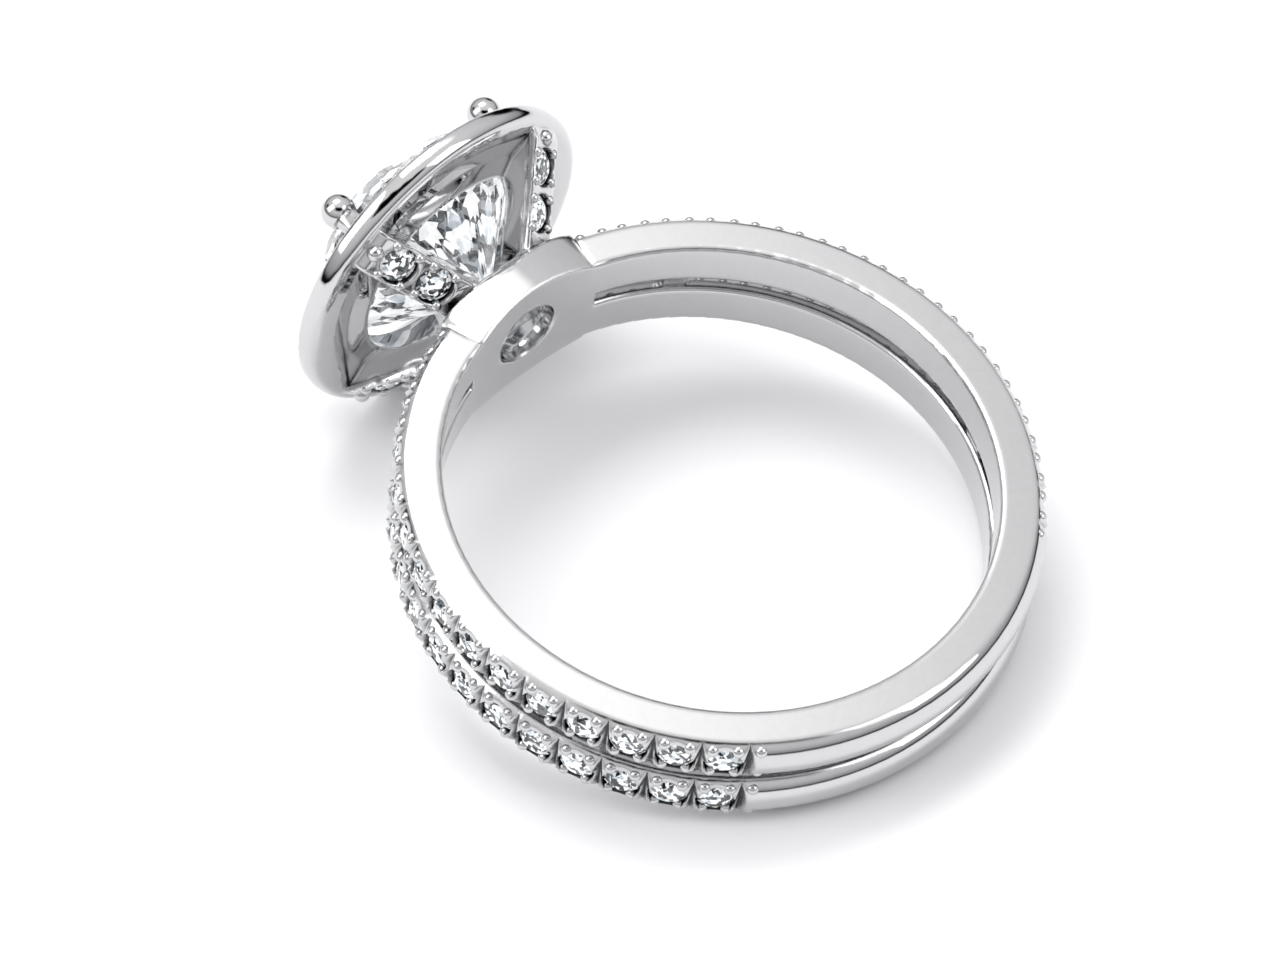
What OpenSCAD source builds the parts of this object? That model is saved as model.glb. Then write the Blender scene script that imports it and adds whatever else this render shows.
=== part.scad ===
// Split shank ring with a round halo head, lying on its side.
// Every piece is modelled about the centre of the finger hole, with X up the
// head and Z along the finger, and then laid down on the floor plane.

/* [Finger hole and shank] */
// Inner diameter of the finger hole
finger_d = 16.9; // [15:0.1:20]
// Width of the whole shank along the finger
shank_w = 3.6; // [3.4:0.1:4.2]
// Radial thickness of the shank at its crest
shank_t = 1.55; // [1.45:0.05:1.9]
// Height of the flat side faces above the inner face
side_h = 1.1; // [1:0.05:1.2]
// Width of the slit between the two bands
slit_w = 0.5; // [0.4:0.05:0.7]
// Angle from the head at which the slit starts
slit_from = 17.6; // [17.2:0.1:18.5]
// Length of each bridge across the slit
bridge_l = 0.8; // [0.6:0.05:1.1]
// Radial height of each bridge
bridge_h = 0.75; // [0.5:0.05:0.9]

/* [Shank stones] */
// Diameter of the small stones
shank_stone_d = 1.14; // [1:0.02:1.2]
// Spacing of the stones along the crest, centre to centre
shank_pitch = 1.43; // [1.4:0.01:1.6]
// Stones in each half of a band
shank_row_n = 15; // [12:1:16]
// Angle of the first stone from the head
row_from = 19.6; // [19.4:0.1:22]
// Depth of the stones' tables below the crest
table_drop = 0.16; // [0.12:0.01:0.22]
// Depth of the cross cuts between stones
cross_cut = 0.38; // [0.25:0.01:0.45]

/* [Base plate] */
// Half angle of the plate, from the head to each seam
seam_a = 16.1; // [15:0.1:17]
// How far each side face bulges past the shank
plate_bulge = 0.4; // [0.2:0.05:0.6]
// Radius of the round hole in the plate
peek_r = 1.15; // [0.9:0.05:1.3]
// Thickness of the floor round that hole
peek_floor = 0.45; // [0.3:0.05:0.7]
// Radius of the hollow above the floor
hollow_r = 1.75; // [1.5:0.05:1.8]
// Rounding of the plate's upper corners
plate_round = 0.5; // [0.3:0.05:0.6]

/* [Gallery bars] */
// Width of each bar's outer plate
bar_w = 1.36; // [1.25:0.02:1.5]
// How much narrower the web behind the plate is, on each side
bar_step = 0.07; // [0.03:0.01:0.12]
// Thickness of the outer plate
bar_plate_t = 0.28; // [0.2:0.02:0.4]
// Depth of a bar from its outer to its inner edge
bar_depth = 1.05; // [0.9:0.05:1.2]
// Angle of the bars and claws round the head
bar_a = 45.5; // [42:0.5:48]
// Diameter of the stones on the bars
bar_stone_d = 1.16; // [1:0.02:1.2]

/* [Halo] */
// Outer radius of the halo
halo_r = 5.65; // [5.5:0.05:5.9]
// Radius of the opening below the centre stone
halo_bore_r = 3.45; // [3.3:0.05:3.55]
// Height of the halo's underside above the finger hole
halo_base = 3.6; // [3.5:0.05:3.8]
// Height of the halo's upright outer wall
halo_wall = 0.5; // [0.4:0.05:0.6]
// Rise of the halo's rounded lower edge
halo_curl = 0.25; // [0.2:0.05:0.4]
// Rise of the sloping top from its outer to its inner edge
halo_slope = 0.5; // [0.45:0.05:0.6]
// Stones in the halo
halo_n = 24; // [20:1:24]
// Diameter of the halo stones
halo_stone_d = 1.12; // [1:0.02:1.14]

/* [Centre stone and claws] */
// Diameter of the centre stone
stone_d = 8.1; // [7.9:0.05:8.2]
// Depth of its pavilion, from the girdle to the point
pavilion_h = 3.4; // [3.3:0.05:3.5]
// Height of its crown
crown_h = 1.2; // [1.1:0.05:1.3]
// Height of its girdle band
girdle_h = 0.14; // [0.1:0.02:0.2]
// Share of the diameter that the table takes
table_share = 0.57; // [0.53:0.01:0.62]
// Radius of each claw's bead
claw_r = 0.46; // [0.4:0.02:0.5]
// Radius of each claw's stem
claw_stem_r = 0.38; // [0.3:0.02:0.4]

/* [Clearances] */
// Gap between each stone and its metal
seat_gap = 0.04; // [0.03:0.01:0.06]

/* [Hidden] */
$fn = 96;
eps = 0.01;

// Shank: radii of the inner face, the side faces' outer edge and the crest
in_r = finger_d / 2;
side_r = in_r + side_h;
crest_r = in_r + shank_t;
band_w = (shank_w - slit_w) / 2;
band_z = (shank_w + slit_w) / 4;
bridge_angles = [36, 112, 180, -112, -36];
bridge_sink = 0.25;
tie_lap = 0.2;
end_drop = 0.06;

// Dome over each band: a circle through the crest and the side face's edge
dome_rise = crest_r - side_r;
dome_r = (pow(band_w / 2, 2) + pow(dome_rise, 2)) / (2 * dome_rise);

// Small brilliant stones, as shares of their diameter
small_table = 0.58;
small_crown = 0.15;
small_girdle = 0.05;
small_pavilion = 0.43;

// Shank rows
table_r = crest_r - table_drop;
stone_step = shank_pitch / table_r * 180 / PI;
row_angles = [for (i = [0:shank_row_n - 1]) row_from + i * stone_step];
row_cuts = [for (i = [0:shank_row_n]) row_from + (i - 0.5) * stone_step];

// Base plate
seam_y = in_r * sin(seam_a);
plate_top_r = crest_r - 0.05;
plate_half = shank_w / 2 + plate_bulge;
plate_side_r = (pow(seam_y, 2) + pow(plate_bulge, 2)) / (2 * plate_bulge);
seam_cut = 0.12;

// Halo heights, all measured from the finger hole's centre
halo_x0 = in_r + halo_base;
halo_x1 = halo_x0 + halo_curl;
halo_x2 = halo_x1 + halo_wall;
halo_x3 = halo_x2 + halo_slope;
halo_in_r = stone_d / 2 + 0.25;
halo_edge_r = halo_r - 0.15;
halo_curl_r = halo_r - 0.85;
halo_tilt = atan2(halo_slope, halo_edge_r - halo_in_r);
halo_row_r = (halo_edge_r + halo_in_r) / 2;
halo_row_x = halo_x2 + halo_slope / 2;
halo_drop = 0.05;

// Centre stone: its girdle stands just over the halo's inner edge
girdle_x = halo_x3 + 0.27;
table_x = girdle_x + girdle_h + crown_h;
culet_x = girdle_x - pavilion_h;
claw_in = 0.31;
claw_x = girdle_x + girdle_h + 0.29;

// Bars: the outer edge rises from the plate to the halo's curled edge, each
// point given as its height up the head and its distance from the head's axis
bar_foot = [plate_top_r - 0.5, hollow_r + 0.07];
bar_head = [halo_x0 - 0.3, halo_curl_r + 0.3];
bar_rise = atan2(bar_head[0] - bar_foot[0], bar_head[1] - bar_foot[1]);
bar_len = norm(bar_head - bar_foot);
bar_stone_shares = [0.418, 0.775];
bar_sink = 0.02;
bar_top = [halo_x0 + 0.2, halo_r - 0.3];
bar_inner_foot = bar_foot + bar_depth * [cos(bar_rise), -sin(bar_rise)];
bar_inner_top = [halo_x0 + 0.2, halo_bore_r + 0.1];
bar_inner_bend = [halo_x0 - 0.6, halo_bore_r - 0.5];
bar_angles = [bar_a, 180 - bar_a, 180 + bar_a, -bar_a];

// Lying down: the halo's rim and the back of the shank touch the floor
lay_a = atan2(halo_r - shank_w / 2, halo_x1 + side_r);
floor_h = side_r * sin(lay_a) + shank_w / 2 * cos(lay_a);
reach_x = table_x * cos(lay_a) + stone_d * table_share / 2 * sin(lay_a);
back_x = crest_r * cos(lay_a) + band_z * sin(lay_a);
centre_x = (reach_x - back_x) / 2;

module lay() {
    translate([-centre_x, 0, floor_h]) rotate([0, -lay_a, 0]) children();
}

// Places children at an angle round the finger hole, with Z pointing outwards
module on_shank(angle, z) {
    rotate([0, 0, angle]) translate([table_r, 0, z]) rotate([0, 90, 0]) children();
}

// Places children on the halo's sloping top, at an angle round the head
module on_halo(angle) {
    rotate([angle, 0, 0]) translate([halo_row_x, halo_row_r, 0]) rotate([0, 0, halo_tilt])
        rotate([0, 90, 0]) translate([0, 0, -halo_drop]) children();
}

// Places children on a bar's outer face, at a share of its length
module on_bar(angle, share) {
    along = share * bar_len;
    rotate([angle, 0, 0])
        translate([bar_foot[0] + along * sin(bar_rise), bar_foot[1] + along * cos(bar_rise), 0])
            rotate([0, 0, 180 - bar_rise]) rotate([0, 90, 0]) translate([0, 0, -bar_sink]) children();
}

// A small brilliant stone with its table at the origin and its point downwards
module small_stone(d) {
    z_crown = -small_crown * d;
    z_girdle = z_crown - small_girdle * d;
    z_point = z_girdle - small_pavilion * d;
    ring = function(r, z) [for (i = [0:7]) [r * cos(45 * i), r * sin(45 * i), z]];
    points = concat(ring(small_table * d / 2, 0), ring(d / 2, z_crown), ring(d / 2, z_girdle), [[0, 0, z_point]]);
    band = function(a, b) [for (i = [0:7]) [a + i, a + (i + 1) % 8, b + (i + 1) % 8, b + i]];
    polyhedron(
        points,
        concat(
            [[for (i = [7:-1:0]) i]],
            band(0, 8),
            band(8, 16),
            [for (i = [0:7]) [16 + i, 16 + (i + 1) % 8, 24]]
        )
    );
}

// The space that a small stone's seat takes out of the metal
module seat(d) {
    z_girdle = -(small_crown + small_girdle) * d;
    z_point = z_girdle - small_pavilion * d;
    r = d / 2 + seat_gap;
    rotate_extrude() polygon([[0, 0.4], [r, 0.4], [r, z_girdle], [0, z_point - 1.6 * seat_gap]]);
}

// The section of one band: flat sides under a dome, with rounded inner edges
module band_section() {
    edge = 0.12;
    translate([in_r + edge, -band_w / 2]) square([side_h - edge, band_w]);
    translate([in_r, -band_w / 2 + edge]) square([side_h, band_w - 2 * edge]);
    for (side = [-1, 1]) {
        translate([in_r + edge, side * (band_w / 2 - edge)]) circle(edge);
    }
    intersection() {
        translate([crest_r - dome_r, 0]) circle(dome_r);
        translate([side_r - eps, -band_w / 2]) square([dome_rise + 2 * eps, band_w]);
    }
}

// Turns a section about the finger axis, over an angle that is centred on at
module turn(at, angle) {
    rotate([0, 0, at - angle / 2]) rotate_extrude(angle = angle) children();
}

// One band: a plain hoop with seats for its stones on both sides of the head,
// and V cuts that leave the metal between the stones standing as prongs
module band(level) {
    difference() {
        turn(180, 360 - 2 * seam_a) translate([0, level]) band_section();
        for (side = [-1, 1]) {
            for (a = row_angles) {
                on_shank(side * a, level) seat(shank_stone_d);
            }
            for (a = row_cuts) {
                rotate([0, 0, side * a]) translate([crest_r - cross_cut, 0, level])
                    linear_extrude(band_w + 0.4, center = true) polygon([[0, 0], [1, 0.55], [1, -0.55]]);
            }
        }
    }
}

// Both bands, their joined ends beside the base plate and the bridges
module bands() {
    end_a = slit_from - seam_a;
    band(-band_z);
    band(band_z);
    for (side = [-1, 1]) {
        turn(side * (seam_a + end_a / 2), end_a)
            translate([in_r, -slit_w / 2 - tie_lap]) square([side_h - end_drop, slit_w + 2 * tie_lap]);
    }
    for (a = bridge_angles) {
        turn(a, bridge_l / side_r * 180 / PI)
            translate([in_r + bridge_sink, -slit_w / 2 - tie_lap]) square([bridge_h, slit_w + 2 * tie_lap]);
    }
}

// The section of the base plate, wide enough for its bulging sides
module plate_section() {
    f = plate_round;
    translate([in_r, -plate_half]) square([plate_top_r - f - in_r, 2 * plate_half]);
    translate([in_r, f - plate_half]) square([plate_top_r - in_r, 2 * (plate_half - f)]);
    for (side = [-1, 1]) {
        translate([plate_top_r - f, side * (plate_half - f)]) circle(f);
    }
}

module base_plate() {
    intersection() {
        turn(0, 2 * seam_a) plate_section();
        plate_side(1);
        plate_side(-1);
    }
}

// A drum whose curved face is one of the plate's bulging side faces
module plate_side(side) {
    translate([in_r - 2, 0, side * (plate_half - plate_side_r)]) rotate([0, 90, 0]) cylinder(h = 5, r = plate_side_r);
}

// The round hole in the plate and the hollow above its floor
module peek_hole() {
    rotate([0, 90, 0]) cylinder(h = in_r + 3, r = peek_r);
    translate([in_r + peek_floor, 0, 0]) rotate([0, 90, 0])
        cylinder(h = plate_top_r - in_r - peek_floor + eps, r1 = peek_r, r2 = hollow_r);
}

// A shallow V round the outside of the shank at each seam
module seam_cuts() {
    for (side = [-1, 1]) {
        rotate([0, 0, side * seam_a]) {
            translate([crest_r, 0, 0]) rotate([0, 0, 45]) cube([seam_cut, seam_cut, shank_w + 1], center = true);
            for (face = [-1, 1]) {
                translate([in_r + shank_t / 2, 0, face * shank_w / 2]) rotate([45, 0, 0])
                    cube([shank_t + 0.4, seam_cut / 2, seam_cut / 2], center = true);
            }
        }
    }
}

// One bar of the gallery: a web behind a slightly wider outer plate
module bar() {
    inward = bar_plate_t * [cos(bar_rise), -sin(bar_rise)];
    linear_extrude(bar_w - 2 * bar_step, center = true)
        polygon([bar_foot, bar_head, bar_top, bar_inner_top, bar_inner_bend, bar_inner_foot]);
    linear_extrude(bar_w, center = true)
        polygon([bar_foot, bar_head, bar_top, bar_head + inward, bar_foot + inward]);
}

// The halo's section, as distance from the head's axis and height up it
module halo_section() {
    curl = 0.4;
    lip = 0.15;
    polygon([
        [halo_bore_r, halo_x0 - 0.1],
        [(halo_bore_r + halo_curl_r) / 2, halo_x0 + 0.06],
        [halo_curl_r, halo_x0],
        [halo_r - curl, halo_x0 + 0.02],
        [halo_r - curl, halo_x2],
        [halo_edge_r, halo_x2],
        [halo_in_r, halo_x3],
        [halo_in_r - 0.25, halo_x3 - 0.1],
        [halo_bore_r, halo_x2 - 0.05]
    ]);
    translate([halo_r - curl, halo_x0 + 0.02 + curl]) circle(curl);
    translate([halo_r - curl, halo_x0 + 0.02 + curl]) square([curl, halo_x2 - halo_x0 - 0.02 - curl - lip]);
    translate([halo_edge_r - 0.5, halo_x2 - lip - eps]) square([0.5, lip + eps]);
    translate([halo_r - lip, halo_x2 - lip]) circle(lip);
}

// The halo's seats, or only those within a given angle of one claw
module halo_seats(claw = 0, reach = 360) {
    for (i = [0:halo_n - 1]) {
        a = (i + 0.5) * 360 / halo_n;
        if (abs((a - claw + 540) % 360 - 180) < reach) {
            on_halo(a) seat(halo_stone_d);
        }
    }
}

module halo() {
    difference() {
        rotate([0, 90, 0]) rotate_extrude() halo_section();
        halo_seats();
    }
}

// A claw on the halo's inner edge, cut away round the stones beside it
module claw(angle) {
    stem = claw_x - halo_x2;
    difference() {
        rotate([angle, 0, 0]) translate([halo_x2, stone_d / 2 + claw_in, 0]) {
            translate([-0.2, 0, 0]) rotate([0, 90, 0]) cylinder(h = stem + 0.2, r = claw_stem_r);
            translate([stem, 0, 0]) sphere(claw_r);
        }
        halo_seats(angle, 1.2 * 360 / halo_n);
        stone_room();
    }
}

// The room that the centre stone needs between its claws
module stone_room() {
    r = stone_d / 2 + seat_gap;
    rotate([0, 90, 0]) rotate_extrude() polygon([
        [0, culet_x - 2 * seat_gap],
        [r, girdle_x - seat_gap / 2],
        [r, girdle_x + girdle_h + seat_gap / 2],
        [stone_d * table_share / 2, table_x + 1.5 * seat_gap],
        [0, table_x + 1.5 * seat_gap]
    ]);
}

module ring_mount() {
    color([0.86, 0.87, 0.88]) lay() {
        difference() {
            union() {
                bands();
                difference() {
                    base_plate();
                    peek_hole();
                }
            }
            seam_cuts();
        }
        for (a = bar_angles) {
            difference() {
                rotate([a, 0, 0]) bar();
                for (share = bar_stone_shares) {
                    on_bar(a, share) seat(bar_stone_d);
                }
            }
        }
        halo();
        for (a = bar_angles) {
            claw(a);
        }
    }
}

// A round brilliant: an eight-sided table, stars, kites and girdle facets over
// a pavilion of eight main facets with sixteen halves
module center_stone() {
    r = stone_d / 2;
    r_table = r * table_share;
    r_star = (r_table * cos(22.5) + r) / 2;
    r_half = 0.24 * r;
    z_star = girdle_h + crown_h * (r - r_star * cos(22.5)) / (r - r_table);
    z_half = -pavilion_h * (1 - r_half * cos(22.5) / r);
    ring = function(n, at, radius, z) [for (i = [0:n - 1]) [radius * cos(360 / n * i + at), radius * sin(360 / n * i + at), z]];
    points = concat(
        ring(8, 0, r_table, girdle_h + crown_h),
        ring(8, 22.5, r_star, z_star),
        ring(16, 0, r, girdle_h),
        ring(16, 0, r, 0),
        ring(8, 22.5, r_half, z_half),
        [[0, 0, -pavilion_h]]
    );
    faces = concat(
        [[for (i = [7:-1:0]) i]],
        [for (i = [0:7]) [i, (i + 1) % 8, 8 + i]],
        [for (i = [0:7]) [i, 8 + i, 16 + 2 * i, 8 + (i + 7) % 8]],
        [for (i = [0:7]) [8 + i, 17 + 2 * i, 16 + 2 * i]],
        [for (i = [0:7]) [8 + i, 16 + (2 * i + 2) % 16, 17 + 2 * i]],
        [for (i = [0:15]) [16 + i, 16 + (i + 1) % 16, 32 + (i + 1) % 16, 32 + i]],
        [for (i = [0:7]) [32 + 2 * i, 33 + 2 * i, 48 + i]],
        [for (i = [0:7]) [33 + 2 * i, 32 + (2 * i + 2) % 16, 48 + i]],
        [for (i = [0:7]) [48 + i, 56, 48 + (i + 7) % 8, 32 + 2 * i]]
    );
    color([0.93, 0.96, 1]) lay() translate([girdle_x, 0, 0]) rotate([0, 90, 0]) polyhedron(points, faces);
}

module halo_stones() {
    color([0.9, 0.94, 1]) lay() {
        for (i = [0:halo_n - 1]) {
            on_halo((i + 0.5) * 360 / halo_n) small_stone(halo_stone_d);
        }
    }
}

// The stones of one band, on both sides of the head
module band_stones(level) {
    color([0.9, 0.94, 1]) lay() {
        for (side = [-1, 1]) {
            for (a = row_angles) {
                on_shank(side * a, level) small_stone(shank_stone_d);
            }
        }
    }
}

module upper_band_stones() {
    band_stones(band_z);
}

module lower_band_stones() {
    band_stones(-band_z);
}

// One gallery stone: two to a bar, counted from the plate upwards
module gallery_stone(number) {
    bar_number = floor((number - 1) / 2);
    color([0.9, 0.94, 1]) lay() on_bar(bar_angles[bar_number], bar_stone_shares[(number - 1) % 2])
        small_stone(bar_stone_d);
}

ring_mount();
center_stone();
halo_stones();
upper_band_stones();
lower_band_stones();
gallery_stone(1);  // gallery_stone_1
gallery_stone(2);  // gallery_stone_2
gallery_stone(3);  // gallery_stone_3
gallery_stone(4);  // gallery_stone_4
gallery_stone(5);  // gallery_stone_5
gallery_stone(6);  // gallery_stone_6
gallery_stone(7);  // gallery_stone_7
gallery_stone(8);  // gallery_stone_8
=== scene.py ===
"""The looks of a split shank ring with a round halo head, lying on its side.

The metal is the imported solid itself, dressed as polished white gold. The
stones are cut again here with every facet of a round brilliant. The tiny beads
that hold them and the round tips of the four claws are raised from the metal.
"""

import logging
import math
from dataclasses import dataclass
from enum import Enum
from typing import Any, Iterable, Sequence

import bpy
from mathutils import Matrix, Vector


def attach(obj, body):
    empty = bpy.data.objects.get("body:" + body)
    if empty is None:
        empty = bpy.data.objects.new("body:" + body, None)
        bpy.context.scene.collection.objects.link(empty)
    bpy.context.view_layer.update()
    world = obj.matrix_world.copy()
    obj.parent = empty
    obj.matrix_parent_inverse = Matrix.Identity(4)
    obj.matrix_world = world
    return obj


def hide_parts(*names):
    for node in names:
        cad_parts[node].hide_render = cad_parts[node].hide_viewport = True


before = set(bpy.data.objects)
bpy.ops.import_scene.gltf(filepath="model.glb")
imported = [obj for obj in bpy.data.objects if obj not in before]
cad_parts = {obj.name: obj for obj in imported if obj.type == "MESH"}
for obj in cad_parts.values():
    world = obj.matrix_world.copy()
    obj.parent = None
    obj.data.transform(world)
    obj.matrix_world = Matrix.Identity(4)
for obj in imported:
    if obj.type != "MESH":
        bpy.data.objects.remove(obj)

MM = 0.001

# The sRGB curve: a straight foot, and a power above it
SRGB_FOOT = 0.04045
SRGB_SLOPE = 12.92
SRGB_OFFSET = 0.055
SRGB_POWER = 2.4

# Sockets that share a name with others of their node, by number: the operands
# of a math node, the factor of a mix, and a colour mix's colours and result
FIRST, SECOND, THIRD = 0, 1, 2
MIX_FACTOR, MIX_A, MIX_B, MIX_RESULT = 0, 6, 7, 2

# A small brilliant's table, crown, girdle and pavilion as shares of its diameter
SMALL_TABLE = 0.58
SMALL_CROWN = 0.15
SMALL_GIRDLE = 0.05
SMALL_PAVILION = 0.43

# A bead's centre in the ring's own frame and its radius, in millimetres
Bead = tuple[Vector, float]

# A mesh's corners, and each face as the numbers of its corners
Shell = tuple[list[Vector], list[list[int]]]

log = logging.getLogger("split_shank_ring")


class Slot(Enum):
    """Names of the ring's material slots."""

    METAL = "white_gold"
    STONE = "diamond"
    SMALL = "small_diamonds"


def linear(code: str) -> tuple[float, float, float, float]:
    """Turn an sRGB hex colour into linear light.

    Args:
        code: the colour as six hex digits, with or without a leading hash.

    Returns:
        Red, green and blue as linear light, and an alpha of 1.
    """
    digits = code.lstrip("#")
    parts = [int(digits[i:i + 2], 16) / 255 for i in (0, 2, 4)]
    red, green, blue = [
        c / SRGB_SLOPE if c <= SRGB_FOOT else ((c + SRGB_OFFSET) / (1 + SRGB_OFFSET)) ** SRGB_POWER
        for c in parts
    ]
    return (red, green, blue, 1.0)


def bare_tree(owner: bpy.types.Material | bpy.types.World) -> bpy.types.NodeTree:
    """Turn on the nodes of a material or a world and clear them.

    Args:
        owner: the material or world.

    Returns:
        Its empty node tree.
    """
    owner.use_nodes = True
    owner.node_tree.nodes.clear()
    return owner.node_tree


def add_node(tree: bpy.types.NodeTree, kind: str, settings: dict[str, Any] | None = None,
             values: dict[str | int, Any] | None = None,
             links: dict[str | int, bpy.types.NodeSocket] | None = None) -> bpy.types.Node:
    """Add one node to a tree, with its settings, socket values and incoming links.

    Args:
        tree: the node tree that gets the node.
        kind: the node's Blender type name.
        settings: properties to set on the node.
        values: default values by input socket name or number.
        links: output sockets to join to inputs, by input name or number.

    Returns:
        The new node.
    """
    node = tree.nodes.new(kind)
    for name, value in (settings or {}).items():
        setattr(node, name, value)
    for socket, value in (values or {}).items():
        node.inputs[socket].default_value = value
    for socket, source in (links or {}).items():
        tree.links.new(source, node.inputs[socket])
    return node


def colour_ramp(node: bpy.types.Node, stops: Sequence[tuple[float, str]]) -> None:
    """Set the stops of a colour ramp node.

    Args:
        node: the ramp node.
        stops: pairs of a place from 0 to 1 and an sRGB hex colour.
    """
    ramp = node.color_ramp
    while len(ramp.elements) < len(stops):
        ramp.elements.new(1.0)
    for element, (place, code) in zip(ramp.elements, stops):
        element.position = place
        element.color = linear(code)


def add_object(name: str, data: bpy.types.ID) -> bpy.types.Object:
    """Put a mesh, light or camera into the scene.

    Args:
        name: the new object's name.
        data: what the object holds.

    Returns:
        The new object.
    """
    made = bpy.data.objects.new(name, data)
    bpy.context.scene.collection.objects.link(made)
    return made


def circle(count: int, turn: float, radius: float, height: float) -> list[Vector]:
    """Give evenly spaced points on a level circle.

    Args:
        count: how many points.
        turn: angle of the first one, in degrees.
        radius: the circle's radius.
        height: the circle's height.

    Returns:
        The points in order.
    """
    angles = [math.radians(turn + 360 / count * i) for i in range(count)]
    return [Vector((radius * math.cos(a), radius * math.sin(a), height)) for a in angles]


def make_piece(name: str, points: Iterable[Vector], faces: Iterable[Sequence[int]],
               finish: bpy.types.Material, smooth: bool) -> bpy.types.Object:
    """Make one visible piece that rides with the ring.

    Args:
        name: the piece's name.
        points: corners in metres, in the floor's frame.
        faces: corner numbers of each face.
        finish: the material of the whole piece.
        smooth: whether the faces are shaded as one curved surface.

    Returns:
        The new object.
    """
    mesh = bpy.data.meshes.new(name)
    mesh.from_pydata([tuple(p) for p in points], [], [tuple(f) for f in faces])
    mesh.validate()
    mesh.update()
    for face in mesh.polygons:
        face.use_smooth = smooth
    mesh.materials.append(finish)
    piece = add_object(name, mesh)
    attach(piece, "root")
    log.info("%s: %d faces", name, len(mesh.polygons))
    return piece


@dataclass(frozen=True)
class RingSizes:
    """The ring's sizes in millimetres and degrees, as the solids have them."""

    finger_d: float = 16.9
    shank_w: float = 3.6
    shank_t: float = 1.55
    side_h: float = 1.1
    slit_w: float = 0.5
    shank_stone_d: float = 1.14
    shank_pitch: float = 1.43
    shank_row_n: int = 15
    row_from: float = 19.6
    table_drop: float = 0.16
    bar_a: float = 45.5
    bar_stone_d: float = 1.16
    bar_shares: tuple[float, float] = (0.418, 0.775)
    bar_sink: float = 0.02
    bar_foot_drop: float = 0.55
    bar_foot_gap: float = 0.07
    bar_head_drop: float = 0.3
    bar_head_gap: float = 0.55
    hollow_r: float = 1.75
    halo_r: float = 5.65
    halo_base: float = 3.6
    halo_wall: float = 0.5
    halo_curl: float = 0.25
    halo_slope: float = 0.5
    halo_in_gap: float = 0.25
    halo_edge_gap: float = 0.15
    halo_n: int = 24
    halo_stone_d: float = 1.12
    halo_drop: float = 0.05
    stone_d: float = 8.1
    pavilion_h: float = 3.4
    crown_h: float = 1.2
    girdle_h: float = 0.14
    girdle_gap: float = 0.27
    table_share: float = 0.57

    @property
    def in_r(self) -> float:
        """Radius of the finger hole."""
        return self.finger_d / 2

    @property
    def crest_r(self) -> float:
        """Radius of the shank's crest."""
        return self.in_r + self.shank_t

    @property
    def side_r(self) -> float:
        """Radius where the flat side faces end."""
        return self.in_r + self.side_h

    @property
    def band_z(self) -> float:
        """Distance of each band's middle from the shank's middle."""
        return (self.shank_w + self.slit_w) / 4

    @property
    def table_r(self) -> float:
        """Radius of the shank stones' tables."""
        return self.crest_r - self.table_drop

    @property
    def row_step(self) -> float:
        """Angle from one stone of a row to the next."""
        return math.degrees(self.shank_pitch / self.table_r)

    @property
    def row_angles(self) -> list[float]:
        """Angles of one row's stones from the head."""
        return [self.row_from + i * self.row_step for i in range(self.shank_row_n)]

    @property
    def halo_x0(self) -> float:
        """Height of the halo's underside above the finger hole's centre."""
        return self.in_r + self.halo_base

    @property
    def halo_x1(self) -> float:
        """Height of the halo's widest line."""
        return self.halo_x0 + self.halo_curl

    @property
    def halo_x2(self) -> float:
        """Height of the top of the halo's outer wall."""
        return self.halo_x1 + self.halo_wall

    @property
    def girdle_x(self) -> float:
        """Height of the centre stone's girdle."""
        return self.halo_x2 + self.halo_slope + self.girdle_gap

    @property
    def table_x(self) -> float:
        """Height of the centre stone's table."""
        return self.girdle_x + self.girdle_h + self.crown_h

    @property
    def lay_angle(self) -> float:
        """Lean of the head above the floor in radians, as the ring lies on its side."""
        return math.atan2(self.halo_r - self.shank_w / 2, self.halo_x1 + self.side_r)

    @property
    def bar_angles(self) -> tuple[float, float, float, float]:
        """Angles of the four bars and claws round the head."""
        return (self.bar_a, 180 - self.bar_a, 180 + self.bar_a, -self.bar_a)

    def lay(self) -> Matrix:
        """Give the move from the ring's own frame in millimetres to the floor's in metres.

        Returns:
            A matrix that lays the ring on its side and scales it to metres.
        """
        lean = self.lay_angle
        floor_h = self.side_r * math.sin(lean) + self.shank_w / 2 * math.cos(lean)
        table_r = self.stone_d * self.table_share / 2
        reach = self.table_x * math.cos(lean) + table_r * math.sin(lean)
        back = self.crest_r * math.cos(lean) + self.band_z * math.sin(lean)
        shift = Matrix.Translation((-(reach - back) / 2, 0, floor_h))
        return Matrix.Scale(MM, 4) @ shift @ Matrix.Rotation(-lean, 4, "Y")

    def on_shank(self, angle: float, level: float) -> Matrix:
        """Give the place of a shank stone's table, with Z pointing out of the band.

        Args:
            angle: degrees from the head.
            level: distance from the shank's middle plane.

        Returns:
            The place in the ring's own frame.
        """
        turn = Matrix.Rotation(math.radians(angle), 4, "Z")
        at = Matrix.Translation((self.table_r, 0, level))
        return turn @ at @ Matrix.Rotation(math.pi / 2, 4, "Y")

    def on_halo(self, angle: float) -> Matrix:
        """Give the place of a halo stone's table, with Z pointing out of the slope.

        Args:
            angle: degrees round the head.

        Returns:
            The place in the ring's own frame.
        """
        inner = self.stone_d / 2 + self.halo_in_gap
        outer = self.halo_r - self.halo_edge_gap
        tilt = math.atan2(self.halo_slope, outer - inner)
        turn = Matrix.Rotation(math.radians(angle), 4, "X")
        at = Matrix.Translation((self.halo_x2 + self.halo_slope / 2, (outer + inner) / 2, 0))
        face = Matrix.Rotation(tilt, 4, "Z") @ Matrix.Rotation(math.pi / 2, 4, "Y")
        return turn @ at @ face @ Matrix.Translation((0, 0, -self.halo_drop))

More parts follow.
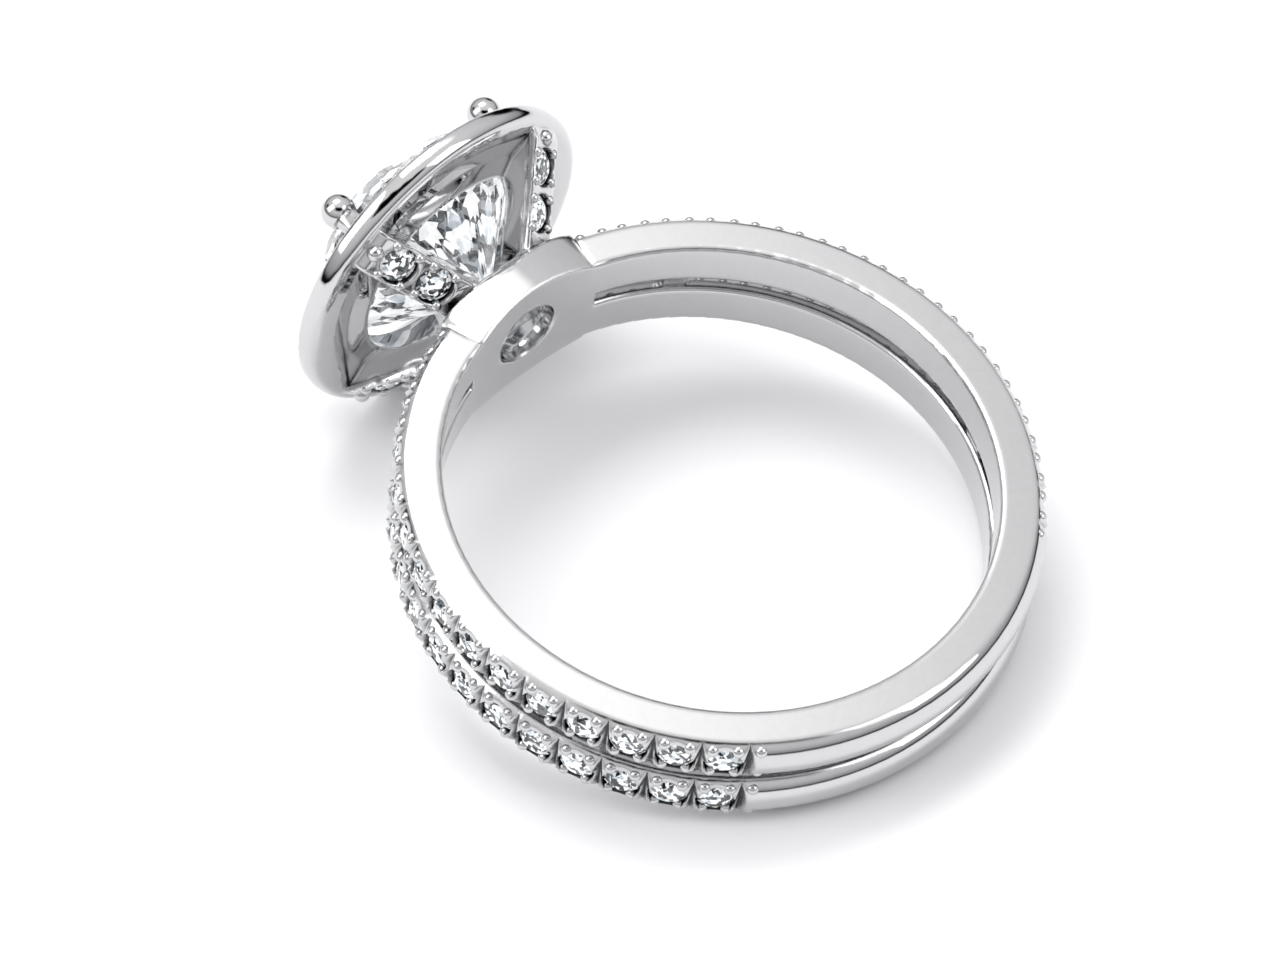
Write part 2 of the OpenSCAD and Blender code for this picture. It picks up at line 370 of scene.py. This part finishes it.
    def on_bar(self, angle: float, share: float) -> Matrix:
        """Give a place on a gallery bar's outer face, with Z pointing out of it.

        Args:
            angle: degrees round the head.
            share: how far up the bar, from 0 to 1.

        Returns:
            The place in the ring's own frame.
        """
        foot = Vector((self.crest_r - self.bar_foot_drop, self.hollow_r + self.bar_foot_gap))
        head = Vector((self.halo_x0 - self.bar_head_drop, self.halo_r - self.bar_head_gap))
        rise = math.atan2(head.x - foot.x, head.y - foot.y)
        at = foot.lerp(head, share)
        turn = Matrix.Rotation(math.radians(angle), 4, "X")
        face = Matrix.Rotation(math.pi - rise, 4, "Z") @ Matrix.Rotation(math.pi / 2, 4, "Y")
        sink = Matrix.Translation((0, 0, -self.bar_sink))
        return turn @ Matrix.Translation((at.x, at.y, 0)) @ face @ sink


@dataclass(frozen=True)
class WhiteGold:
    """White gold, rhodium plated and polished to a mirror on a felt wheel.

    The plating gives a nearly neutral white with crisp reflections. The wheel
    leaves a swirl, drawn here coarser than the real one so that it shows, and
    rounds every edge, which gives a bright line along it. Shade is painted
    near black into the slit, the seats and the fine cuts, where nearby metal
    hides the room.
    """

    colour: str = "#CDCDCE"
    shade: str = "#CACACB"
    # Painted shade: the near black painted into hollows, how far the metal looks for cover, and
    # how open a place must be to keep its own colour
    painted_shade: str = "#17181A"
    painted_shade_mm: float = 0.45
    painted_shade_open: tuple[float, float] = (0.25, 0.75)
    roughness: float = 0.035
    roughness_spread: float = 0.3
    swirl_mm: float = 0.5
    swirl_depth_mm: float = 0.00002
    swirl_detail: float = 3.0
    swirl_fade: float = 0.6
    swirl_twist: float = 1.2
    swirl_range: tuple[float, float] = (0.3, 0.7)
    edge_mm: float = 0.2
    samples: int = 8

    def material(self) -> bpy.types.Material:
        """Build the material.

        Returns:
            The polished white gold material.
        """
        made = bpy.data.materials.new("white_gold_rhodium_polished")
        tree = bare_tree(made)
        low, high = self.swirl_range
        place = add_node(tree, "ShaderNodeTexCoord")
        swirl = add_node(
            tree, "ShaderNodeTexNoise", {"noise_dimensions": "3D"},
            {"Scale": 1 / (self.swirl_mm * MM), "Detail": self.swirl_detail,
             "Roughness": self.swirl_fade, "Distortion": self.swirl_twist},
            {"Vector": place.outputs["Object"]},
        )
        tone = add_node(tree, "ShaderNodeValToRGB", links={"Fac": swirl.outputs["Fac"]})
        colour_ramp(tone, [(low, self.shade), (high, self.colour)])
        # Painted shade: the colour goes to near black in the slit, the seats and the fine cuts,
        # where nearby metal hides the room
        opening = add_node(
            tree, "ShaderNodeAmbientOcclusion", {"samples": self.samples},
            {"Distance": self.painted_shade_mm * MM},
        )
        reach = add_node(
            tree, "ShaderNodeMapRange", {"interpolation_type": "SMOOTHSTEP"},
            {"From Min": self.painted_shade_open[0], "From Max": self.painted_shade_open[1]},
            {"Value": opening.outputs["AO"]},
        )
        tone_with_painted_shade = add_node(
            tree, "ShaderNodeMix", {"data_type": "RGBA"}, {MIX_A: linear(self.painted_shade)},
            {MIX_FACTOR: reach.outputs["Result"], MIX_B: tone.outputs["Color"]},
        )
        gloss = add_node(
            tree, "ShaderNodeMapRange", None,
            {"From Min": low, "From Max": high,
             "To Min": self.roughness * (1 - self.roughness_spread),
             "To Max": self.roughness * (1 + self.roughness_spread)},
            {"Value": swirl.outputs["Fac"]},
        )
        edge = add_node(tree, "ShaderNodeBevel", {"samples": self.samples},
                        {"Radius": self.edge_mm * MM})
        bump = add_node(
            tree, "ShaderNodeBump", None,
            {"Strength": 1.0, "Distance": self.swirl_depth_mm * MM},
            {"Height": swirl.outputs["Fac"], "Normal": edge.outputs["Normal"]},
        )
        metal = add_node(
            tree, "ShaderNodeBsdfPrincipled", None, {"Metallic": 1.0},
            {"Base Color": tone_with_painted_shade.outputs[MIX_RESULT], "Roughness": gloss.outputs["Result"],
             "Normal": bump.outputs["Normal"]},
        )
        add_node(tree, "ShaderNodeOutputMaterial", links={"Surface": metal.outputs["BSDF"]})
        return made


@dataclass(frozen=True)
class Diamond:
    """Colourless diamond, faceted and polished on a cast iron lap.

    The facets are optically flat, so the eye gets sharp fields of white, pale
    blue and near black that change from one facet to the next. The fields are
    painted reflections, in the stone's colour, of the pavilion's facets seen
    through the crown, and field_mm is their size.
    the pavilion's facets seen through the crown, and field_mm is their size.
    On small stones they jump by turn_share fields between facets that face
    different ways. On one large stone they are mirrored within each of its
    folds, which are fold_mm wide. The light that enters on one side and comes
    back out on the other, which few bounces can't carry, is a painted glow of
    the fields' colours, as strong as painted_glow.
    """

    name: str = "diamond_polished"
    clear: str = "#FDFEFF"
    ior: float = 2.42
    roughness: float = 0.0
    field_mm: float = 0.38
    field_share: float = 0.6
    # Painted glow: how strongly the fields glow, for light that comes back out of the stone
    painted_glow: float = 0.75
    inner_shine: float = 0.15
    turn_share: float = 3.0
    folds: int = 8
    fold_mm: float = 2.6
    # Painted reflections: the colours of the fields, from near black through white and pale blue
    fields: tuple[tuple[float, str], ...] = (
        (0.0, "#060708"), (0.3, "#4F565C"), (0.4, "#B6BEC5"), (0.5, "#FFFFFF"),
        (0.84, "#E0E8EE"), (0.93, "#08090B"),
    )

    def mixed_fields(self, tree: bpy.types.NodeTree) -> bpy.types.NodeSocket:
        """Place the fields of many small stones, with a jump at each facet's edge.

        Args:
            tree: the material's node tree.

        Returns:
            The place, in units of one field.
        """
        place = add_node(tree, "ShaderNodeTexCoord")
        facet = add_node(tree, "ShaderNodeNewGeometry")
        spot = add_node(
            tree, "ShaderNodeVectorMath", {"operation": "SCALE"},
            {"Scale": 1 / (self.field_mm * MM)}, {FIRST: place.outputs["Object"]},
        )
        seen = add_node(
            tree, "ShaderNodeVectorMath", {"operation": "MULTIPLY_ADD"},
            {SECOND: (self.turn_share,) * 3},
            {FIRST: facet.outputs["True Normal"], THIRD: spot.outputs["Vector"]},
        )
        return seen.outputs["Vector"]

    def folded_fields(self, tree: bpy.types.NodeTree, stone: Matrix) -> bpy.types.NodeSocket:
        """Place the fields of one stone, mirrored round its axis as its facets are.

        Args:
            tree: the material's node tree.
            stone: the stone's place, from millimetres to the floor's metres.

        Returns:
            The place, in units of one field.
        """
        place = add_node(tree, "ShaderNodeTexCoord")
        own = add_node(
            tree, "ShaderNodeMapping", {"vector_type": "TEXTURE"},
            {"Location": stone.to_translation(), "Rotation": stone.to_euler(),
             "Scale": stone.to_scale()},
            {"Vector": place.outputs["Object"]},
        )
        parts = add_node(tree, "ShaderNodeSeparateXYZ", links={"Vector": own.outputs["Vector"]})
        angle = add_node(
            tree, "ShaderNodeMath", {"operation": "ARCTAN2"},
            links={FIRST: parts.outputs["Y"], SECOND: parts.outputs["X"]},
        )
        turn = add_node(
            tree, "ShaderNodeMath", {"operation": "MULTIPLY"},
            {SECOND: self.folds / math.tau}, {FIRST: angle.outputs["Value"]},
        )
        # Each fold runs to its middle and back again
        fold = add_node(
            tree, "ShaderNodeMath", {"operation": "PINGPONG"},
            {SECOND: 0.5}, {FIRST: turn.outputs["Value"]},
        )
        flat = add_node(
            tree, "ShaderNodeVectorMath", {"operation": "MULTIPLY"},
            {SECOND: (1.0, 1.0, 0.0)}, {FIRST: own.outputs["Vector"]},
        )
        radius = add_node(tree, "ShaderNodeVectorMath", {"operation": "LENGTH"},
                          links={FIRST: flat.outputs["Vector"]})
        joined = add_node(
            tree, "ShaderNodeCombineXYZ",
            links={"X": fold.outputs["Value"], "Y": radius.outputs["Value"],
                   "Z": parts.outputs["Z"]},
        )
        size = 1 / self.field_mm
        seen = add_node(
            tree, "ShaderNodeVectorMath", {"operation": "MULTIPLY"},
            {SECOND: (self.fold_mm * size, size, size)}, {FIRST: joined.outputs["Vector"]},
        )
        return seen.outputs["Vector"]

    def material(self, stone: Matrix | None = None) -> bpy.types.Material:
        """Build the material.

        Args:
            stone: the place of the one stone that wears it, or None for a field of stones.

        Returns:
            The clear diamond material.
        """
        made = bpy.data.materials.new(self.name)
        tree = bare_tree(made)
        seen = self.folded_fields(tree, stone) if stone else self.mixed_fields(tree)
        # Painted reflections: each cell gets one field colour, painted into the stone's colour
        cells = add_node(tree, "ShaderNodeTexVoronoi", None, {"Scale": 1.0}, {"Vector": seen})
        pick = add_node(tree, "ShaderNodeSeparateColor", links={"Color": cells.outputs["Color"]})
        tone = add_node(tree, "ShaderNodeValToRGB", links={"Fac": pick.outputs["Red"]})
        colour_ramp(tone, self.fields)
        tone.color_ramp.interpolation = "CONSTANT"
        clear = add_node(
            tree, "ShaderNodeBsdfPrincipled", None,
            {"Base Color": linear(self.clear), "IOR": self.ior, "Roughness": self.roughness,
             "Transmission Weight": 1.0},
        )
        # Painted reflections and painted glow: the fields are this shader's base colour and also
        # its emission
        painted_flash = add_node(
            tree, "ShaderNodeBsdfPrincipled", None,
            {"IOR": self.ior, "Roughness": self.roughness,
             "Specular IOR Level": self.inner_shine, "Emission Strength": self.painted_glow},
            {"Base Color": tone.outputs["Color"], "Emission Color": tone.outputs["Color"]},
        )
        body = add_node(
            tree, "ShaderNodeMixShader", None, {MIX_FACTOR: self.field_share},
            {SECOND: clear.outputs["BSDF"], THIRD: painted_flash.outputs["BSDF"]},
        )
        add_node(tree, "ShaderNodeOutputMaterial", links={"Surface": body.outputs["Shader"]})
        return made


@dataclass(frozen=True)
class MattPaper:
    """White background paper, rolled without a gloss, which gives an even pale floor."""

    colour: str = "#F6F6F7"
    roughness: float = 0.9
    shine: float = 0.2

    def material(self) -> bpy.types.Material:
        """Build the material.

        Returns:
            The matt white paper material.
        """
        made = bpy.data.materials.new("paper_white_matt")
        tree = bare_tree(made)
        body = add_node(
            tree, "ShaderNodeBsdfPrincipled", None,
            {"Base Color": linear(self.colour), "Roughness": self.roughness,
             "Specular IOR Level": self.shine},
        )
        add_node(tree, "ShaderNodeOutputMaterial", links={"Surface": body.outputs["BSDF"]})
        return made


@dataclass
class Mount:
    """The cast and soldered metal, which is the CAD solid itself."""

    finish: bpy.types.Material

    def dress(self) -> None:
        """Give the CAD metal its finish."""
        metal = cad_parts["ring_mount"]
        metal.data.materials.clear()
        metal.data.materials.append(self.finish)
        log.info("ring_mount: %d faces", len(metal.data.polygons))


@dataclass(frozen=True)
class Brilliant:
    """A round brilliant cut, with its girdle's underside at height 0 and Z up.

    The cut has a table, eight stars, eight kites, sixteen upper and sixteen
    lower girdle facets and eight pavilion mains.
    """

    diameter: float
    table_share: float
    crown_h: float
    girdle_h: float
    pavilion_h: float
    half_share: float = 0.24
    mains: int = 8

    @classmethod
    def small(cls, diameter: float) -> "Brilliant":
        """Give a small stone's cut, whose heights are shares of its diameter."""
        heights = [share * diameter for share in (SMALL_CROWN, SMALL_GIRDLE, SMALL_PAVILION)]
        return cls(diameter, SMALL_TABLE, *heights)

    def points(self) -> list[Vector]:
        """Give the cut's corners.

        Returns:
            Table, star, upper girdle, lower girdle and half facet points, and the culet.
        """
        n = self.mains
        between = 180 / n
        narrow = math.cos(math.radians(between))
        r = self.diameter / 2
        r_table = r * self.table_share
        r_star = (r_table * narrow + r) / 2
        r_half = r * self.half_share
        z_star = self.girdle_h + self.crown_h * (r - r_star * narrow) / (r - r_table)
        z_half = -self.pavilion_h * (1 - r_half * narrow / r)
        return [
            *circle(n, 0, r_table, self.girdle_h + self.crown_h),
            *circle(n, between, r_star, z_star),
            *circle(2 * n, 0, r, self.girdle_h),
            *circle(2 * n, 0, r, 0),
            *circle(n, between, r_half, z_half),
            Vector((0, 0, -self.pavilion_h)),
        ]

    def faces(self) -> list[list[int]]:
        """Give the facets as corner numbers, turning left seen from outside.

        Returns:
            One list for each facet.
        """
        n = self.mains
        table, star = range(n), range(n, 2 * n)
        upper, lower = range(2 * n, 4 * n), range(4 * n, 6 * n)
        half, culet = range(6 * n, 7 * n), 7 * n
        made = [list(table)]
        made += [[star[i], table[(i + 1) % n], table[i]] for i in range(n)]
        made += [[star[i - 1], upper[2 * i], star[i], table[i]] for i in range(n)]
        made += [[upper[2 * i], upper[2 * i + 1], star[i]] for i in range(n)]
        made += [[upper[2 * i + 1], upper[(2 * i + 2) % (2 * n)], star[i]] for i in range(n)]
        made += [[lower[i], lower[(i + 1) % (2 * n)], upper[(i + 1) % (2 * n)], upper[i]]
                 for i in range(2 * n)]
        made += [[half[i], lower[2 * i + 1], lower[2 * i]] for i in range(n)]
        made += [[half[i], lower[(2 * i + 2) % (2 * n)], lower[2 * i + 1]] for i in range(n)]
        made += [[lower[2 * i], half[i - 1], culet, half[i]] for i in range(n)]
        return made


@dataclass
class CentreStone:
    """The large round brilliant in the claws."""

    sizes: RingSizes
    finish: Diamond

    def build(self) -> None:
        """Cut the stone in its claws, where it stands for the CAD stone."""
        s = self.sizes
        cut = Brilliant(s.stone_d, s.table_share, s.crown_h, s.girdle_h, s.pavilion_h)
        up = Matrix.Rotation(math.pi / 2, 4, "Y")
        place = s.lay() @ Matrix.Translation((s.girdle_x, 0, 0)) @ up
        points = [place @ p for p in cut.points()]
        piece = make_piece("centre_brilliant", points, cut.faces(), self.finish.material(place),
                           False)
        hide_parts("center_stone")


@dataclass
class StoneField:
    """A field of small brilliants that are cut alike and set one by one.

    Each stone is turned by turn_step radians more than the one before, because
    a setter never lines up their facets.
    """

    name: str
    diameter: float
    places: list[Matrix]
    stands_for: tuple[str, ...]
    sizes: RingSizes
    finish: bpy.types.Material
    turn_step: float = 2.4

    def build(self) -> None:
        """Cut and place every stone of the field as one mesh, for its CAD stones."""
        cut = Brilliant.small(self.diameter)
        lift = Matrix.Translation((0, 0, -cut.girdle_h - cut.crown_h))
        points: list[Vector] = []
        faces: list[list[int]] = []
        for number, place in enumerate(self.places):
            turn = Matrix.Rotation(number * self.turn_step, 4, "Z")
            start = len(points)
            points += [self.sizes.lay() @ place @ lift @ turn @ p for p in cut.points()]
            faces += [[start + corner for corner in face] for face in cut.faces()]
        piece = make_piece(self.name, points, faces, self.finish, False)
        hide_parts(*self.stands_for)


@dataclass
class Beads:
    """The small round beads that hold the stones, and the round tips of the claws.

    Sizes are in millimetres. A bead stands along and across from the middle
    of its stone or gap, and its centre is sunk below the stones' tables or
    lifted above them.
    """

    sizes: RingSizes
    finish: bpy.types.Material
    shank_bead_r: float = 0.2
    shank_along: float = 0.33
    shank_across: float = 0.5
    shank_sink: float = 0.15
    bar_bead_r: float = 0.17
    bar_along: float = 0.53
    bar_across: float = 0.44
    bar_sink: float = 0.02
    knob_r: float = 0.27
    knob_sink: float = 0.05
    halo_bead_r: float = 0.13
    halo_across: float = 0.42
    halo_lift: float = 0.02
    claw_tip_r: float = 0.56
    claw_out: float = 0.29
    claw_up: float = 0.29
    rings: int = 12
    sides: int = 20

    @staticmethod
    def corners(x: float, y: float, z: float) -> list[Vector]:
        """Give the four corners of a level rectangle round the middle."""
        return [Vector((u * x, v * y, z)) for u in (-1, 1) for v in (-1, 1)]

    def shank_places(self) -> list[Bead]:
        """Give the beads between the stones of both bands.

        Returns:
            Four beads for each gap.
        """
        s = self.sizes
        gaps = [s.row_from + (i - 0.5) * s.row_step for i in range(s.shank_row_n + 1)]
        spots = self.corners(self.shank_across, self.shank_along, -self.shank_sink)
        return [
            (s.on_shank(side * gap, level) @ spot, self.shank_bead_r)
            for side in (-1, 1) for level in (-s.band_z, s.band_z) for gap in gaps
            for spot in spots
        ]

    def bar_places(self) -> list[Bead]:
        """Give the beads round the gallery bars' stones and the knob at each bar's top.

        Returns:
            Four beads for each stone, then the four knobs.
        """
        s = self.sizes
        spots = self.corners(self.bar_along, self.bar_across, -self.bar_sink)
        beads = [
            (s.on_bar(angle, share) @ spot, self.bar_bead_r)
            for angle in s.bar_angles for share in s.bar_shares for spot in spots
        ]
        top = Vector((0, 0, -self.knob_sink))
        return beads + [(s.on_bar(angle, 1.0) @ top, self.knob_r) for angle in s.bar_angles]

    def halo_places(self) -> list[Bead]:
        """Give the beads between the halo's stones.

        Returns:
            Two beads for each gap.
        """
        s = self.sizes
        return [
            (s.on_halo(i * 360 / s.halo_n) @ Vector((u * self.halo_across, 0, self.halo_lift)),
             self.halo_bead_r)
            for i in range(s.halo_n) for u in (-1, 1)
        ]

    def claw_places(self) -> list[Bead]:
        """Give the round tips of the claws that hold the centre stone.

        Returns:
            One tip for each claw.
        """
        s = self.sizes
        tip = Vector((s.girdle_x + s.girdle_h + self.claw_up, s.stone_d / 2 + self.claw_out, 0))
        turns = [Matrix.Rotation(math.radians(a), 3, "X") for a in s.bar_angles]
        return [(turn @ tip, self.claw_tip_r) for turn in turns]

    def ball(self, centre: Vector, radius: float, start: int) -> Shell:
        """Make one bead.

        Args:
            centre: its centre in the ring's own frame.
            radius: its radius.
            start: number of its first corner in the whole mesh.

        Returns:
            Its corners in metres and its faces.
        """
        lay = self.sizes.lay()
        pole = Vector((0, 0, radius))
        points = [lay @ (centre + pole)]
        for row in range(1, self.rings):
            polar = math.pi * row / self.rings
            row_r, height = radius * math.sin(polar), radius * math.cos(polar)
            points += [lay @ (centre + p) for p in circle(self.sides, 0, row_r, height)]
        points.append(lay @ (centre - pole))
        last = len(points) - 1
        faces = []
        for col in range(self.sides):
            after = (col + 1) % self.sides
            faces.append([0, 1 + col, 1 + after])
            faces.append([last, last - self.sides + after, last - self.sides + col])
            for row in range(self.rings - 2):
                upper = 1 + row * self.sides
                lower = upper + self.sides
                faces.append([upper + col, lower + col, lower + after, upper + after])
        return points, [[start + c for c in face] for face in faces]

    def build(self) -> None:
        """Raise all the beads and tips, as one mesh for each kind of place."""
        groups = {
            "shank_beads": self.shank_places(),
            "gallery_beads": self.bar_places(),
            "halo_beads": self.halo_places(),
            "claw_tips": self.claw_places(),
        }
        for name, beads in groups.items():
            points: list[Vector] = []
            faces: list[list[int]] = []
            for centre, radius in beads:
                more_points, more_faces = self.ball(centre, radius, len(points))
                points += more_points
                faces += more_faces
            make_piece(name, points, faces, self.finish, True)


@dataclass(frozen=True)
class Patch:
    """A round patch in the white tent: dark where it is open, or lit from behind.

    It is full as far as inner degrees from its middle and ends at outer.
    """

    azimuth: float
    elevation: float
    inner: float
    outer: float
    colour: str = "#060607"
    glow: float = 1.0


@dataclass(frozen=True)
class Cloth:
    """A large lit cloth that faces the ring, in degrees, metres and watts."""

    name: str
    azimuth: float
    elevation: float
    size: tuple[float, float]
    power: float
    distance: float = 0.35


@dataclass
class Studio:
    """A pale floor, soft light from large cloths, a white tent and the camera.

    Directions are in degrees: an azimuth of 0 looks along +Y, and an elevation
    is counted from the floor. The tent's colours go from the floor's level up
    to its top.
    """

    aim_mm: tuple[float, float, float] = (-0.5066, 1.2346, 4.0049)
    azimuth: float = -133.17
    elevation: float = 47.63
    roll: float = 1.458
    distance_mm: float = 145.46
    lens: float = 134.82
    sensor_w: float = 36.0
    clip: tuple[float, float] = (0.01, 10.0)
    floor_w: float = 2.4
    tent_strength: float = 1.05
    tent: tuple[tuple[float, str], ...] = (
        (0.0, "#040405"), (0.06, "#18181A"), (0.13, "#A6A7A8"), (0.35, "#D8D8D9"),
        (0.7, "#F0F0F1"), (1.0, "#FFFFFF"),
    )
    patches: tuple[Patch, ...] = (
        Patch(-98, 52, 8, 12), Patch(-120, 54, 11, 15), Patch(-146, 57, 10, 14),
        Patch(30, 14, 9, 13), Patch(120, 24, 7, 11), Patch(38, 64, 1, 13, "#FFFFFF", 1.75),
    )
    cloths: tuple[Cloth, ...] = (
        Cloth("top_cloth", 75, 66, (0.16, 0.16), 0.42),
        Cloth("left_cloth", -210, 42, (0.14, 0.25), 0.34),
        Cloth("right_cloth", -62, 38, (0.14, 0.25), 0.28),
    )

    @staticmethod
    def direction(azimuth: float, elevation: float) -> Vector:
        """Give the unit vector from the ring towards a place in the studio.

        Args:
            azimuth: degrees round the ring.
            elevation: degrees above the floor.

        Returns:
            The direction.
        """
        a, e = math.radians(azimuth), math.radians(elevation)
        return Vector((math.sin(a) * math.cos(e), -math.cos(a) * math.cos(e), math.sin(e)))

    def floor(self) -> None:
        """Lay the pale floor under the ring, not attached to the ring's body."""
        half = self.floor_w / 2
        mesh = bpy.data.meshes.new("floor")
        corners = [(-half, -half, 0), (half, -half, 0), (half, half, 0), (-half, half, 0)]
        mesh.from_pydata(corners, [], [(0, 1, 2, 3)])
        mesh.materials.append(MattPaper().material())
        add_object("floor", mesh)

    def hang(self, cloth: Cloth) -> None:
        """Hang one lit cloth.

        Args:
            cloth: the cloth, which faces the ring.
        """
        data = bpy.data.lights.new(cloth.name, "AREA")
        data.shape = "RECTANGLE"
        data.size, data.size_y = cloth.size
        data.energy = cloth.power
        light = add_object(cloth.name, data)
        back = self.direction(cloth.azimuth, cloth.elevation)
        light.location = back * cloth.distance
        light.rotation_euler = (-back).to_track_quat("-Z", "Y").to_euler()

    def room(self) -> None:
        """Light the room with white cloth, dark at the floor's level and at its openings."""
        world = bpy.data.worlds.new("studio_tent")
        tree = bare_tree(world)
        place = add_node(tree, "ShaderNodeTexCoord")
        parts = add_node(tree, "ShaderNodeSeparateXYZ",
                         links={"Vector": place.outputs["Generated"]})
        tent = add_node(tree, "ShaderNodeValToRGB", links={"Fac": parts.outputs["Z"]})
        colour_ramp(tent, self.tent)
        shade = tent.outputs["Color"]
        for patch in self.patches:
            toward = add_node(
                tree, "ShaderNodeVectorMath", {"operation": "DOT_PRODUCT"},
                {SECOND: self.direction(patch.azimuth, patch.elevation)},
                {FIRST: place.outputs["Generated"]},
            )
            edge = add_node(
                tree, "ShaderNodeMapRange", {"interpolation_type": "SMOOTHSTEP"},
                {"From Min": math.cos(math.radians(patch.outer)),
                 "From Max": math.cos(math.radians(patch.inner))},
                {"Value": toward.outputs["Value"]},
            )
            mixed = add_node(
                tree, "ShaderNodeMix", {"data_type": "RGBA"},
                {MIX_B: tuple(c * patch.glow for c in linear(patch.colour))},
                {MIX_FACTOR: edge.outputs["Result"], MIX_A: shade},
            )
            shade = mixed.outputs[MIX_RESULT]
        glow = add_node(tree, "ShaderNodeBackground", None, {"Strength": self.tent_strength},
                        {"Color": shade})
        add_node(tree, "ShaderNodeOutputWorld", links={"Surface": glow.outputs["Background"]})
        bpy.context.scene.world = world

    def camera(self) -> None:
        """Set up the scene's camera at the photograph's angle to the ring."""
        data = bpy.data.cameras.new("camera")
        data.lens = self.lens
        data.sensor_width = self.sensor_w
        data.clip_start, data.clip_end = self.clip
        camera = add_object("camera", data)
        back = self.direction(self.azimuth, self.elevation)
        camera.location = Vector(self.aim_mm) * MM + back * self.distance_mm * MM
        facing = (-back).to_track_quat("-Z", "Y").to_matrix().to_4x4()
        tilt = Matrix.Rotation(math.radians(-self.roll), 4, "Z")
        camera.rotation_euler = (facing @ tilt).to_euler()
        bpy.context.scene.camera = camera

    def build(self) -> None:
        """Set up the floor, the lights, the room and the camera."""
        self.floor()
        for cloth in self.cloths:
            self.hang(cloth)
        self.room()
        self.camera()
        bpy.context.scene.view_settings.view_transform = "Standard"
        log.info("studio: %d cloths, %d patches", len(self.cloths), len(self.patches))


def main() -> None:
    """Build the ring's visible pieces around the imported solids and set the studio."""
    logging.basicConfig(level=logging.INFO, format="%(name)s: %(message)s")
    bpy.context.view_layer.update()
    sizes = RingSizes()
    gold = WhiteGold().material()
    # The small stones get finer painted reflections and a weaker painted glow
    small = Diamond("small_diamond_polished", field_mm=0.15, field_share=0.78,
                    painted_glow=0.5).material()
    Mount(gold).dress()
    CentreStone(sizes, Diamond()).build()
    for level, name in ((sizes.band_z, "upper_band"), (-sizes.band_z, "lower_band")):
        row = [sizes.on_shank(side * a, level) for side in (-1, 1) for a in sizes.row_angles]
        StoneField(f"{name}_brilliants", sizes.shank_stone_d, row, (f"{name}_stones",), sizes,
                   small).build()
    halo = [sizes.on_halo((i + 0.5) * 360 / sizes.halo_n) for i in range(sizes.halo_n)]
    StoneField("halo_brilliants", sizes.halo_stone_d, halo, ("halo_stones",), sizes,
               small).build()
    bars = [sizes.on_bar(a, share) for a in sizes.bar_angles for share in sizes.bar_shares]
    nodes = tuple(f"gallery_stone_{i + 1}" for i in range(len(bars)))
    StoneField("gallery_brilliants", sizes.bar_stone_d, bars, nodes, sizes, small).build()
    Beads(sizes, gold).build()
    Studio().build()


if __name__ == "__main__":
    main()
